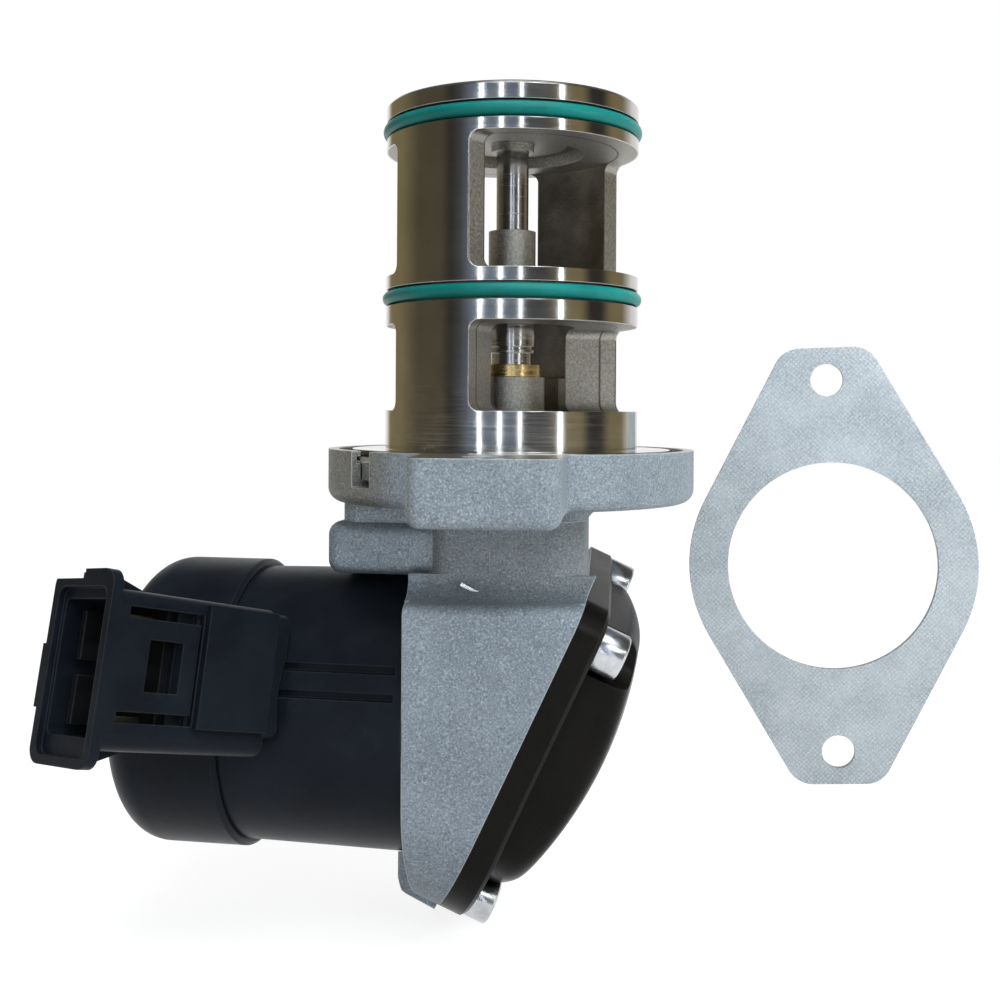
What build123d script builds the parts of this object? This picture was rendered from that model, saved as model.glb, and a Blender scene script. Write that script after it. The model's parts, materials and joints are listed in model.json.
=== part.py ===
from build123d import *
import math
import os

# An electrically driven exhaust gas valve. A windowed cylindrical cage stands on a diamond flange,
# a cast housing hangs below it, and a motor turns a spiral cam that lifts a two-poppet stem.
# Main frame: Z up along the stem, origin on the flange face, bolt holes on the Y axis.
# Drive frame: the main frame turned about Z, so that the motor and gear axes lie along X.
# Cover frame: the same for the gear cover, whose flat seat leans by cover_lean.

os.makedirs("parts", exist_ok=True)

# General clearances
fit_gap = 0.05
free_gap = 0.3

# Orientation of the three working frames and of the cage's pillars, degrees
drive_yaw = 4.6
cover_yaw = 4.1
cover_lean = 25.0
pillar_yaw = -35.1

# Flange
flange_r = 40.4
flange_t = 11.4
ear_t = 12.8
flange_half_length = 60.8
ear_half_width = 14.0
ear_corner_r = 3.0
ear_root_r = 2.2
bolt_half_spacing = 51.5
bolt_hole_r = 4.5
flange_edge_r = 3.0
flange_flare = 3.4

# Cage
cage_r = 28.0
cage_wall = 4.6
base_ring_top = 8.4
lower_window_top = 27.0
mid_ring_top = 37.7
upper_window_top = 65.5
cage_top = 75.4
lower_pillar_half = (21.9, 21.0)
upper_pillar_half_w = (10.2, 9.8)
lower_bore_r = 14.0
lower_ledge_r = 12.2
ledge_top = 15.9
window_corner_r = 2.2
cage_floor_z = 7.4
collar_r = 38.0
collar_t = 3.5
collar_depth = 6.0
collar_step_r = 35.2
web_t = 4.0
lower_seat_r = 14.0
upper_seat_r = 15.8
boss_r = 7.4
boss_top = 15.9
o_ring_r = 1.5
o_ring_stand = 0.75
o_ring_upper_z = 69.8
o_ring_lower_z = 33.0
groove_extra = 0.35

# Snap ring and its access slot
snap_t = 1.2
snap_r_in = 35.9
snap_bite = 0.9
slot_yaw = -44.6
slot_w = 6.4
slot_depth = 7.4

# Stem, guide and poppets
stem_r = 3.6
stem_top = 73.4
sleeve_r = 5.35
sleeve_neck_r = 4.6
sleeve_top = 28.0
sleeve_step_z = 21.2
brass_r = 6.6
brass_t = 2.7
seal_r = 8.0
seal_t = 4.5
poppet_t = 3.4
poppet_lap = 1.3
poppet_plug_t = 2.0
hub_r = 5.25
lower_hub_top = 48.3
upper_hub_r = 4.8
nut_flats = 8.0
nut_t = 4.5
lift = 6.0

# Housing
neck_half_x = 17.2
neck_half_y = 18.0
neck_corner_r = 7.0
neck_bore_r = 12.6
body_top = -31.0
casting_wall = 3.4
floor_face_x = -17.5
motor_face_x = -17.0
spigot_len = 4.0
saddle_x = -37.6
saddle_half_y = 17.0
saddle_top = -15.6
saddle_low = -27.0
saddle_edge_r = 3.0
foot_x = -22.5
foot_half_y = 14.0
foot_low = -95.2
foot_rise = 2.7
ledge_r = 5.0
body_edge_r = 2.4

# Cover seat, outline in its own plane: (across, down the slope, corner radius)
seat_x = 1.4
seat_z = -62.0
near_corner = (-20.0, -27.0, 8.0)
far_corner = (20.0, -34.0, 8.0)
low_near = (-7.0, 18.5, 21.0)
low_far = (7.0, 22.0, 21.0)
cover_flange_t = 5.8
cover_wall = 2.6
dome_rise = 20.0
dome_r = 85.0
dome_centre_t = -4.5
dome_near = (-13.5, -23.5, 8.0)
dome_far = (13.5, -29.0, 8.0)
dome_low_near = (-8.0, 14.0, 15.0)
dome_low_far = (8.0, 21.0, 16.0)
dome_edge_r = 4.5
pocket_gap = 1.2
seal_w = 2.0
cover_seal_t = 1.2
screw_points = ((-22.0, -26.9), (22.0, -36.6), (-4.5, 36.2))
screw_r = 3.0
screw_len = 13.2
head_r = 4.9
head_t = 6.0
socket_flats = 5.0

# Gear train
gear_module = 0.7
pressure_deg = 25.0
pinion_teeth = 12
wheel_teeth = 36
small_teeth = 14
cam_gear_teeth = 34
addendum = 0.85
dedendum = 1.2
tooth_slack = 0.07
motor_z = -58.5
first_gear_x = -16.6
first_gear_w = 4.4
second_gear_x = -11.2
second_gear_w = 4.6

# Cam and follower
cam_w = 4.0
cam_low_r = 8.0
cam_turn = 120.0
cam_gap = 0.04
roller_r = 4.0
roller_pin_r = 1.5
fork_ear = 1.8
fork_half_y = 3.3
fork_gap = 0.3
cam_pin_r = 3.0
cam_hub_r = 5.5
idler_pin_r = 2.0
pin_boss_wall = 2.4

# Return spring and its retainer
spring_wire_r = 0.8
spring_coil_r = 9.2
spring_turns = 4.0
spring_top = -6.6
spring_low = -21.6
retainer_r = 11.2
retainer_t = 1.6

# Motor
barrel_r = 31.2
barrel_end_r = 30.6
barrel_wall = 2.6
seam_x = -56.7
cap_r = 32.2
cap_end_x = -83.4
cap_edge_r = 8.2
cap_rim_cut = 0.9
groove_w = 1.6
groove_depth = 1.0
groove_zs = (-45.0, -50.2)
can_r = 27.4
can_wall = 1.8
magnet_t = 4.6
magnet_deg = 74.0
rotor_r = 20.4
rotor_slots = 12
rotor_len = 24.0
rotor_mid_x = -42.9
shaft_r = 2.5
commutator_r = 9.0
commutator_len = 9.0
bearing_r = 8.0
bearing_t = 5.0

# Connector, in its own frame: u out of the mouth, v up, w into the body from the front face
conn_x = -43.9
conn_y = -33.1
conn_z = -45.4
conn_yaw = 58.0
conn_pitch = 13.0
conn_roll = 6.0
conn_len = 39.0
conn_h = 36.4
conn_w = 20.3
conn_shift = -2.0
conn_wall = 2.2
conn_corner_r = 3.2
conn_depth = 17.0
lip_t = 1.5
lip_len = 2.2
block_len = 17.6
block_h = 23.8
block_rise = 1.6
tongue_h = 17.2
tongue_mid = -0.9
tongue_from = 18.4
tongue_to = 34.6
tongue_slot = 2.0
window_half = 4.8
window_mid = -0.9
key_half = 6.0
key_mid = -4.0
key_t = 1.0
collar_half = 13.2
collar_back = 4.6
gusset_w = (5.0, 14.0)
terminal_count = 5

# Gasket, standing beside the valve
gasket_x = 83.1
gasket_y = 77.2
gasket_z = -34.0
gasket_tilt = 2.1
gasket_t = 1.5
gasket_r = 39.3
gasket_half_length = 60.5
gasket_half_width = 14.6
gasket_hole_r = 28.65
gasket_bolt_r = 4.5
gasket_corner_r = 7.5

# Derived sizes
cage_inner = cage_r - cage_wall
groove_floor = cage_r + o_ring_stand - 2 * o_ring_r
recess_r = collar_r + 0.2
snap_z = -collar_depth + collar_t + 0.1
stage_centre = gear_module * (pinion_teeth + wheel_teeth) / 2
idler_z = motor_z - stage_centre
cam_top_z = motor_z + cam_low_r
roller_z = cam_top_z + roller_r
fork_low = roller_z - roller_r + 1.0
lean = math.radians(cover_lean)


def save(shape, name):
    shape.label = name
    export_step(shape, "parts/" + name + ".step")


def disc(r, z0, z1, x=0.0, y=0.0):
    return Pos(x, y, (z0 + z1) / 2) * Cylinder(r, z1 - z0)


def tube(r, hole, z0, z1):
    return disc(r, z0, z1) - disc(hole, z0 - 1, z1 + 1)


def x_disc(r, x0, x1, y=0.0, z=0.0):
    return Pos((x0 + x1) / 2, y, z) * Rot(0, 90, 0) * Cylinder(r, x1 - x0)


def x_tube(r, hole, x0, x1, y=0.0, z=0.0):
    return x_disc(r, x0, x1, y, z) - x_disc(hole, x0 - 1, x1 + 1, y, z)


def block(x0, x1, y0, y1, z0, z1):
    return Pos((x0 + x1) / 2, (y0 + y1) / 2, (z0 + z1) / 2) * Box(x1 - x0, y1 - y0, z1 - z0)


def from_drive(shape):
    return Rot(0, 0, -drive_yaw) * shape


def from_cover(shape):
    return Rot(0, 0, cover_yaw) * shape


def hull_face(circles, plane=Plane.XY):
    edges = []
    for x, y, r in circles:
        edges.append(Pos(x, y, 0) * Edge.make_circle(r))
    return plane * make_face(make_hull(edges))


def diamond(r, half_length, half_width, corner):
    spots = [(0, 0, r)]
    for sx in (-1, 1):
        for sy in (-1, 1):
            spots.append((sx * (half_width - corner), sy * (half_length - corner), corner))
    return hull_face(spots)


def sector(r, half_deg, z0, z1, centre_deg):
    wedge = Plane.XZ * Pos(r / 2, (z0 + z1) / 2) * Rectangle(r, z1 - z0)
    turned = revolve(wedge, axis=Axis.Z, revolution_arc=2 * half_deg)
    return Rot(0, 0, centre_deg - half_deg) * turned


# Valve cage: revolved rings joined by two pillars, with webs that carry the seats
rings = tube(cage_r, cage_inner, 0, cage_top)
floor = disc(cage_r, -collar_depth, cage_floor_z)
collar = disc(collar_r, -collar_depth, -collar_depth + collar_t)
step = disc(collar_step_r, -collar_depth, 0)
lower_web = tube(cage_inner + 1, lower_seat_r, lower_window_top, lower_window_top + web_t)
upper_web = tube(cage_inner + 1, upper_seat_r, upper_window_top, upper_window_top + web_t)
cage = rings + floor + collar + step + lower_web + upper_web
pillar_deg = pillar_yaw - 90
cage += tube(cage_inner + 1, lower_bore_r, cage_floor_z - 0.1, lower_window_top + 0.1)
cage += tube(lower_bore_r + 1, lower_ledge_r, cage_floor_z - 0.1, ledge_top)
front_half, back_half = lower_pillar_half
open_half = 90 - (front_half + back_half) / 2
shift = (front_half - back_half) / 2
for side in (90 + shift, 270 - shift):
    cage -= sector(cage_r + 5, open_half, base_ring_top, lower_window_top, pillar_deg + side)
front_w, back_w = upper_pillar_half_w
for side in (-1, 1):
    front_cut = block(-0.1, cage_r + 5, front_w, cage_r + 5, mid_ring_top, upper_window_top)
    back_cut = block(-cage_r - 5, 0.1, back_w, cage_r + 5, mid_ring_top, upper_window_top)
    opening = front_cut + back_cut
    if side < 0:
        opening = mirror(opening, Plane.XZ)
    cage -= Rot(0, 0, pillar_deg) * opening
cage += disc(boss_r, cage_floor_z - 1, boss_top)
corners = [
    e
    for e in cage.edges().filter_by(GeomType.LINE)
    if e.length > cage_wall - 0.1 and abs((e @ 0).Z - (e @ 1).Z) < 0.01 and e.center().Z > base_ring_top - 0.1
]
cage = fillet(corners, window_corner_r)
for z in (o_ring_upper_z, o_ring_lower_z):
    half_w = o_ring_r + groove_extra
    cage -= tube(cage_r + 2, groove_floor, z - half_w, z + half_w)
cage -= disc(sleeve_neck_r, -collar_depth - 1, boss_top + 1)
cage -= disc(seal_r, -collar_depth - 1, -collar_depth + seal_t)
rims = cage.edges().filter_by(GeomType.CIRCLE).filter_by(
    lambda e: abs(e.radius - cage_r) < 0.01 and e.center().Z > cage_top - 0.01
)
cage = chamfer(rims, 0.6)
save(cage, "valve_cage")

# O-rings, squeezed against their groove floors
for z, name in ((o_ring_upper_z, "upper_o_ring"), (o_ring_lower_z, "lower_o_ring")):
    save(Pos(0, 0, z) * Torus(groove_floor + o_ring_r + 0.02, o_ring_r), name)

# Snap ring: an open ring above the collar, its gap behind the access slot
snap_r_out = recess_r + snap_bite - 0.1
snap = tube(snap_r_out, snap_r_in, snap_z, snap_z + snap_t)
snap -= sector(60, 9, snap_z - 1, snap_z + snap_t + 1, slot_yaw - 90 - 12)
save(snap, "snap_ring")

# Guide sleeve, brass ring and stem seal: fixed pieces around the stem
sleeve = disc(sleeve_r, sleeve_step_z, sleeve_top) + disc(sleeve_neck_r, 1.0, sleeve_step_z)
sleeve -= disc(stem_r + fit_gap, 0, sleeve_top + 1)
sleeve -= tube(sleeve_r + 1, sleeve_r - 0.5, sleeve_step_z + 0.8, sleeve_step_z + 1.4)
sleeve_rim = sleeve.edges().filter_by(GeomType.CIRCLE).filter_by(
    lambda e: abs(e.radius - sleeve_r) < 0.01 and e.center().Z > sleeve_top - 0.01
)
save(chamfer(sleeve_rim, 0.5), "guide_sleeve")
save(tube(brass_r, sleeve_neck_r, boss_top, boss_top + brass_t), "brass_seal_ring")
lip_cut = tube(seal_r - 1.6, stem_r + 1.2, -collar_depth - 1, -collar_depth + seal_t - 1.6)
seal_z = -collar_depth + seal_t
save(tube(seal_r, stem_r + fit_gap, -collar_depth + 0.1, seal_z) - lip_cut, "stem_seal")

# Stem: a ground rod that ends in a fork for the cam roller
ear_x = cam_w / 2 + fork_gap + fork_ear
stem = disc(stem_r, fork_low + 6, stem_top)
fork = block(-ear_x, ear_x, -fork_half_y, fork_half_y, fork_low, fork_low + 11)
fork -= block(-cam_w / 2 - fork_gap, cam_w / 2 + fork_gap, -9, 9, fork_low - 1, roller_z + roller_r + 0.8)
fork -= x_disc(roller_pin_r, -9, 9, 0, roller_z)
stem -= block(-9, 9, -9, 9, fork_low, fork_low + 10.9)
stem = from_drive(fork) + stem
thread = disc(stem_r - 0.6, stem_top, stem_top + nut_t + 1.2)
save(stem + thread, "valve_stem")

# Poppets: a disc above each seat, a short plug inside it and a hub around the stem
lower_seat_z = lower_window_top + web_t
upper_seat_z = upper_window_top + web_t


def poppet(seat_r, seat_z, hub, hub_low, hub_high):
    plug_r = seat_r - free_gap
    body = Pos(0, 0, seat_z - poppet_plug_t / 2) * Cone(plug_r - 1.4, plug_r, poppet_plug_t)
    body += disc(seat_r + poppet_lap, seat_z + fit_gap, seat_z + poppet_t)
    body += disc(plug_r, seat_z - 0.01, seat_z + fit_gap + 0.01)
    body += disc(hub, hub_low, hub_high)
    return body - disc(stem_r, hub_low - 5, hub_high + 5)


save(poppet(lower_seat_r, lower_seat_z, hub_r, lower_seat_z - poppet_plug_t, lower_hub_top), "lower_poppet")
upper_poppet = poppet(upper_seat_r, upper_seat_z, upper_hub_r, upper_seat_z - poppet_plug_t - 1.5, stem_top)
save(upper_poppet, "upper_poppet")
nut = extrude(RegularPolygon(nut_flats / 2, 6, major_radius=False), nut_t)
nut = Pos(0, 0, stem_top) * nut - disc(stem_r - 0.6, stem_top - 1, stem_top + nut_t + 1)
save(nut, "stem_nut")

# Return spring between the cage floor and a retainer on the stem
coil_height = spring_top - spring_low - 2 * spring_wire_r
coil_path = Edge.make_helix(coil_height / spring_turns, coil_height, spring_coil_r)
coil_start = Plane(origin=coil_path @ 0, z_dir=coil_path % 0)
coil = sweep(coil_start * Circle(spring_wire_r), path=coil_path)
save(Pos(0, 0, spring_low + spring_wire_r) * coil, "return_spring")
retainer = disc(retainer_r, spring_low - retainer_t - 0.1, spring_low - 0.1)
retainer += disc(stem_r + 2.6, spring_low - retainer_t - 3, spring_low - 0.1)
save(retainer - disc(stem_r, spring_low - 9, spring_low + 1), "spring_retainer")

# Roller and its pin
roller = x_tube(roller_r, roller_pin_r + fit_gap, -cam_w / 2, cam_w / 2, 0, roller_z)
save(from_drive(roller), "follower_roller")
save(from_drive(x_disc(roller_pin_r, -ear_x, ear_x, 0, roller_z)), "roller_pin")


# Involute gears in the drive frame
def gear_face(teeth, tooth_deg):
    pitch_r = gear_module * teeth / 2
    base_r = pitch_r * math.cos(math.radians(pressure_deg))
    tip_r = pitch_r + addendum * gear_module
    root_r = pitch_r - dedendum * gear_module
    involute = math.tan(math.radians(pressure_deg)) - math.radians(pressure_deg)
    half_pitch = math.pi / (2 * teeth) - tooth_slack / pitch_r
    points = []
    for tooth in range(teeth):
        centre = math.radians(tooth_deg) + 2 * math.pi * tooth / teeth
        flank = []
        for share in (0.0, 0.4, 0.75, 1.0):
            r = max(base_r, root_r) + (tip_r - max(base_r, root_r)) * share
            turn = math.acos(min(1.0, base_r / r))
            flank.append((r, half_pitch + involute - (math.tan(turn) - turn)))
        if base_r > root_r:
            flank.insert(0, (root_r, flank[0][1]))
        for r, a in flank:
            points.append((r * math.cos(centre - a), r * math.sin(centre - a)))
        for r, a in reversed(flank):
            points.append((r * math.cos(centre + a), r * math.sin(centre + a)))
    return make_face(Polyline(*points, close=True))


def gear(teeth, tooth_deg, x, width, z):
    # local X of the face is the drive frame's Y and local Y is Z, so teeth are measured from +Y towards +Z
    face = Plane(origin=(x, 0, z), x_dir=(0, 1, 0), z_dir=(1, 0, 0)) * gear_face(teeth, tooth_deg)
    return extrude(face, width)


pinion = gear(pinion_teeth, -90 + 180 / pinion_teeth, first_gear_x, first_gear_w, motor_z)
pinion -= x_disc(shaft_r - 0.5, first_gear_x - 1, first_gear_x + first_gear_w + 1, 0, motor_z)
save(from_drive(pinion), "motor_pinion")

wheel = gear(wheel_teeth, 90, first_gear_x, first_gear_w, idler_z)
wheel_web_r = gear_module * wheel_teeth / 2 - 2.6
wheel -= x_tube(wheel_web_r, 5.6, first_gear_x - 1, first_gear_x + 1.2, 0, idler_z)
small = gear(small_teeth, 90, first_gear_x + first_gear_w - 0.1, 6.2, idler_z)
idler_end_x = first_gear_x + first_gear_w - 0.1 + 6.2
idler = wheel + small - x_disc(idler_pin_r + fit_gap, -40, 20, 0, idler_z)
save(from_drive(idler), "idler_gear")

cam_gear = gear(cam_gear_teeth, -90 + 180 / cam_gear_teeth, second_gear_x, second_gear_w, motor_z)
cam_gear += x_disc(cam_hub_r, second_gear_x, -cam_w / 2, 0, motor_z)
cam_gear -= x_disc(cam_pin_r + fit_gap, -40, 20, 0, motor_z)
save(from_drive(cam_gear), "cam_gear")

# Spiral cam: the roller's path offset inwards by the roller's radius
rise_rate = lift / math.radians(cam_turn)
cam_points = []
cam_steps = 17
for i in range(cam_steps):
    beta = math.radians(-14 + (cam_turn + 28) * i / (cam_steps - 1))
    rho = cam_low_r + roller_r + rise_rate * beta
    slope = math.atan2(rise_rate, rho)
    off = roller_r + cam_gap
    px = rho * math.sin(beta) - off * math.sin(beta - slope)
    pz = rho * math.cos(beta) - off * math.cos(beta - slope)
    cam_points.append((px, pz))
cam_curve = Spline(*cam_points)
back = ThreePointArc(cam_points[-1], (-5.4, -6.4), cam_points[0])
cam_face = make_face([cam_curve, back])
cam_plane = Plane(origin=(-cam_w / 2, 0, motor_z), x_dir=(0, 1, 0), z_dir=(1, 0, 0))
cam_disc = extrude(cam_plane * cam_face, cam_w)
cam_disc -= x_disc(cam_pin_r + fit_gap, -9, 9, 0, motor_z)
save(from_drive(cam_disc), "spiral_cam")

# Cover seat frame: w up the normal, first axis across (away from the near side), second down the slope
normal = Vector(math.cos(lean), 0, -math.sin(lean))
down = Vector(-math.sin(lean), 0, -math.cos(lean))
across = down.cross(normal)
seat = Plane(origin=(seat_x, 0, seat_z), x_dir=across, z_dir=normal)
flip = 1 if across.Y > 0 else -1


outline = (near_corner, far_corner, low_near, low_far)
dome_outline = (dome_near, dome_far, dome_low_near, dome_low_far)


def seat_prism(inset, w0, w1, circles=outline):
    spots = [(flip * v, t, r - inset) for v, t, r in circles]
    return extrude(hull_face(spots, seat.offset(w0)), w1 - w0)


def on_seat(v, t, w):
    return seat.offset(w) * Pos(flip * v, t, 0)


def seat_rod(v, t, w0, w1, r):
    return on_seat(v, t, (w0 + w1) / 2) * Cylinder(r, w1 - w0)


# Housing: flange plate with two ears, neck, leaning gear box, motor spigot, saddle and foot, all one casting
disc_part = fillet(disc(flange_r, -flange_t, 0).edges().sort_by(Axis.Z)[0], flange_edge_r)
ears = block(-ear_half_width, ear_half_width, -flange_half_length, flange_half_length, -ear_t, 0)
ears = fillet(ears.edges().filter_by(Axis.Z), ear_corner_r)
ears = fillet(ears.faces().sort_by(Axis.Z)[0].edges(), flange_edge_r - 0.6)
flange = disc_part + ears
roots = flange.edges().filter_by(Axis.Z).filter_by(lambda e: abs(abs(e.center().Y) - flange_r) < 3)
flange = fillet(roots, ear_root_r)
neck_plan = RectangleRounded(2 * neck_half_x, 2 * neck_half_y, neck_corner_r)
neck = extrude(Pos(0, 0, body_top - 8) * neck_plan, -body_top + 8 - flange_t + 1)
flare = extrude(Pos(0, 0, -flange_t - flange_flare) * neck_plan, flange_flare + 0.5, taper=-40)
long_prism = from_cover(seat_prism(0, -60, 0))
keep = from_drive(block(motor_face_x, 60, -50, 50, -130, body_top))
gear_box = long_prism & keep
top_front = gear_box.edges().filter_by(lambda e: abs(e.center().Z - body_top) < 0.1 and e.center().Y < -20)
gear_box = fillet(top_front, body_edge_r)
backing_zone = from_drive(block(-60, motor_face_x + 2, -60, 60, -130, motor_z))
backing_zone += block(-60, 60, -neck_half_y + 1, neck_half_y - 1, body_top - 4, -flange_t)
backing = from_cover(seat_prism(0, -casting_wall - 2, 0)) & backing_zone
step_y = -neck_half_y - ledge_r
step = block(motor_face_x - 3, neck_half_x + 8, step_y, -neck_half_y + 2, body_top - 1, body_top + ledge_r)
step -= x_disc(ledge_r, -60, 60, step_y, body_top + ledge_r)
spigot = x_disc(barrel_end_r - barrel_wall - 0.1, motor_face_x - spigot_len, motor_face_x + 3, 0, motor_z)
saddle = block(saddle_x, motor_face_x + 8, -saddle_half_y, saddle_half_y, saddle_low, saddle_top)
saddle = fillet(saddle.edges().group_by(Axis.X)[0] + saddle.edges().filter_by(Axis.X), saddle_edge_r)
riser = block(saddle_x + 2.6, 0, -saddle_half_y + 2, saddle_half_y - 2, saddle_top - 4, -flange_t + 1)
riser = fillet(riser.edges().filter_by(Axis.Z), 4)
foot_side = Polyline(
    (foot_x, motor_z), (foot_x, foot_low + foot_rise), (foot_x + foot_rise / 2, foot_low),
    (motor_face_x + 8, foot_low - 5.5), (motor_face_x + 8, motor_z), close=True
)
foot_plane = Plane(origin=(0, foot_half_y, 0), x_dir=(1, 0, 0), z_dir=(0, -1, 0))
foot = extrude(foot_plane * make_face(foot_side), 2 * foot_half_y)
foot_edges = foot.edges().filter_by(lambda e: abs(e.center().Y) > foot_half_y - 0.1 and e.center().X < foot_x + 0.3)
foot = fillet(foot_edges, 3)
motor_room = from_drive(x_disc(barrel_r + 0.15, -120, motor_face_x, 0, motor_z))
past_seat = seat.offset(40) * Box(160, 160, 80) & block(-90, 90, -60, 60, -140, -flange_t - 1)
limbs = neck + flare + step + from_drive(saddle + riser + foot) - motor_room - from_cover(past_seat)
housing = flange + limbs + (gear_box - motor_room) + (backing - motor_room) + from_drive(spigot)

# Recess for the cage's collar, the snap ring's groove and its access slot
housing -= disc(recess_r, -collar_depth, 1)
housing -= disc(recess_r + snap_bite, snap_z - 0.1, snap_z + snap_t + 0.1)
slot = Pos(recess_r, 0, -slot_depth / 2 + 1) * Box(12, slot_w, slot_depth + 2)
housing -= Rot(0, 0, slot_yaw - 90) * slot
housing -= disc(neck_bore_r, body_top - 1, 1)
for side in (-1, 1):
    housing -= disc(bolt_hole_r, -40, 1, 0, side * bolt_half_spacing)

# Gear room, open at the cover seat, with bosses left for the cover's screws
room = from_cover(seat_prism(casting_wall, -60, 1))
room_keep = from_drive(block(floor_face_x + 0.3, 60, -50, 50, -130, body_top - 2.5))
room = room & room_keep
for v, t in screw_points:
    room -= from_cover(seat_rod(v, t, -18, 2, screw_r + 2.4))
housing -= room
housing -= disc(fork_half_y + ear_x - 0.8, body_top - 5, body_top + 1)
for v, t in screw_points:
    housing -= from_cover(seat_rod(v, t, -screw_len + cover_flange_t - 1, 1, screw_r))

# Seats for the motor's front bearing and shaft, the idler's pin and the cover's seal
bearing_seat = x_disc(bearing_r, motor_face_x - spigot_len - 1, motor_face_x - spigot_len + bearing_t - 1.5, 0, motor_z)
bearing_out = x_disc(pinion_teeth * gear_module / 2 + 1.2, -40, floor_face_x + 1, 0, motor_z)
pin_hole = x_disc(idler_pin_r, motor_face_x - spigot_len + 0.8, floor_face_x + 1, 0, idler_z)
housing -= from_drive(bearing_seat + bearing_out + pin_hole)
save(housing, "housing")

# Cover seal in a groove of the cover's flange
seal_mid = casting_wall / 2
seal_ring = seat_prism(seal_mid - seal_w / 2, 0, cover_seal_t) - seat_prism(seal_mid + seal_w / 2, -1, 9)
for v, t in screw_points:
    seal_ring -= seat_rod(v, t, -1, 9, screw_r + 1.2)
save(from_cover(seal_ring), "cover_seal")

# Gear cover: a flange and a domed shell, with bosses that hold the cam's and the idler's pins
dome_ball = seat.offset(dome_rise - dome_r) * Pos(0, dome_centre_t, 0) * Sphere(dome_r)
dome_hollow = seat.offset(dome_rise - dome_r) * Pos(0, dome_centre_t, 0) * Sphere(dome_r - cover_wall)
dome = seat_prism(0, 0, dome_rise + 2, dome_outline) & dome_ball
crown = dome.edges().filter_by(lambda e: e.geom_type != GeomType.LINE)
crown = [e for e in crown if (seat.to_local_coords(e.center())).Z > 5]
dome = fillet(crown, dome_edge_r)
hollow = seat_prism(cover_wall, -1, dome_rise, dome_outline) & dome_hollow
cover_flange = seat_prism(0, 0, cover_flange_t)
flange_rim = cover_flange.faces().sort_by(lambda f: seat.to_local_coords(f.center()).Z)[-1].edges()
cover_flange = chamfer(flange_rim, 0.8)
solid_dome = from_cover(dome + seat_prism(3, -30, 1, dome_outline))
hollow_cut = hollow
for v, t in screw_points:
    hollow_cut -= seat_rod(v, t, cover_flange_t - 2, 60, head_r + pocket_gap + cover_wall)
cover = from_cover(cover_flange + dome - hollow_cut)
cam_boss_x = cam_w / 2 + 0.4
idler_boss_x = idler_end_x + 0.4
pockets = []
for v, t in screw_points:
    pockets.append(from_cover(seat_rod(v, t, cover_flange_t, 60, head_r + pocket_gap)))
bosses = x_disc(cam_pin_r + pin_boss_wall, cam_boss_x, 40, 0, motor_z)
bosses += x_disc(idler_pin_r + pin_boss_wall, idler_boss_x, 40, 0, idler_z)
cover += from_drive(bosses) & solid_dome
for pocket in pockets:
    cover -= pocket
cam_pin_end = cam_boss_x + 9
idler_pin_end = idler_boss_x + 9
cover -= from_drive(x_disc(cam_pin_r, -40, cam_pin_end, 0, motor_z))
cover -= from_drive(x_disc(idler_pin_r, -40, idler_pin_end, 0, idler_z))
seal_cut = seat_prism(seal_mid - seal_w / 2, -1, cover_seal_t) - seat_prism(seal_mid + seal_w / 2, -2, 9)
for v, t in screw_points:
    seal_cut -= seat_rod(v, t, -2, 9, screw_r + 1.0)
cover -= from_cover(seal_cut)
for v, t in screw_points:
    cover -= from_cover(seat_rod(v, t, -2, cover_flange_t + 2, screw_r + 0.3))
save(cover, "gear_cover")

# Cover screws: socket heads with their shanks in the casting
screws = []
for v, t in screw_points:
    screw = seat_rod(v, t, cover_flange_t, cover_flange_t + head_t, head_r)
    screw = chamfer(screw.edges().sort_by(lambda e: seat.to_local_coords(e.center()).Z)[-1], 0.5)
    screw += seat_rod(v, t, cover_flange_t - screw_len, cover_flange_t, screw_r)
    socket = on_seat(v, t, cover_flange_t + head_t - 3) * RegularPolygon(socket_flats / 2, 6, major_radius=False)
    screws.append(from_cover(screw - extrude(socket, 4)))
save(Compound(children=screws), "cover_screws")

# Pins of the gear train, pressed into the cover and the housing
save(from_drive(x_disc(cam_pin_r, second_gear_x - 0.5, cam_pin_end, 0, motor_z)), "cam_pin")
idler_pin_start = motor_face_x - spigot_len + 0.8
save(from_drive(x_disc(idler_pin_r, idler_pin_start, idler_pin_end, 0, idler_z)), "idler_pin")

# Motor barrel: a slightly tapered tube with two grooves along its near side
barrel_len = motor_face_x - seam_x
barrel_mid_x = (motor_face_x + seam_x) / 2
barrel_hole = barrel_end_r - barrel_wall
barrel = Pos(barrel_mid_x, 0, motor_z) * Rot(0, 90, 0) * Cone(barrel_end_r, barrel_r, barrel_len)
barrel -= x_disc(barrel_hole, seam_x - 1, motor_face_x + 1, 0, motor_z)
for z in groove_zs:
    far = -math.sqrt(barrel_end_r**2 - (z - motor_z) ** 2)
    barrel -= block(seam_x - 1, motor_face_x - 2, far - 5, far + groove_depth, z - groove_w / 2, z + groove_w / 2)
save(from_drive(barrel), "motor_housing")

# End cap with the connector moulded on
cap = x_disc(cap_r, cap_end_x, seam_x, 0, motor_z)
cap_rim = cap.edges().filter_by(GeomType.CIRCLE).sort_by(Axis.X)[0]
cap = fillet(cap_rim, cap_edge_r)
cap = chamfer(cap.edges().filter_by(GeomType.CIRCLE).sort_by(Axis.X)[-1], cap_rim_cut)
yaw = math.radians(conn_yaw)
pitch = math.radians(conn_pitch)
roll = math.radians(conn_roll)
out_dir = Vector(-math.cos(yaw) * math.cos(pitch), -math.sin(yaw) * math.cos(pitch), math.sin(pitch))
level = Vector(math.sin(yaw), -math.cos(yaw), 0)
upright = out_dir.cross(level)
upright = upright if upright.Z > 0 else upright * -1
face_dir = level * math.cos(roll) + upright * math.sin(roll)
conn = Plane(origin=(conn_x, conn_y, conn_z), x_dir=out_dir, z_dir=face_dir * -1)


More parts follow.
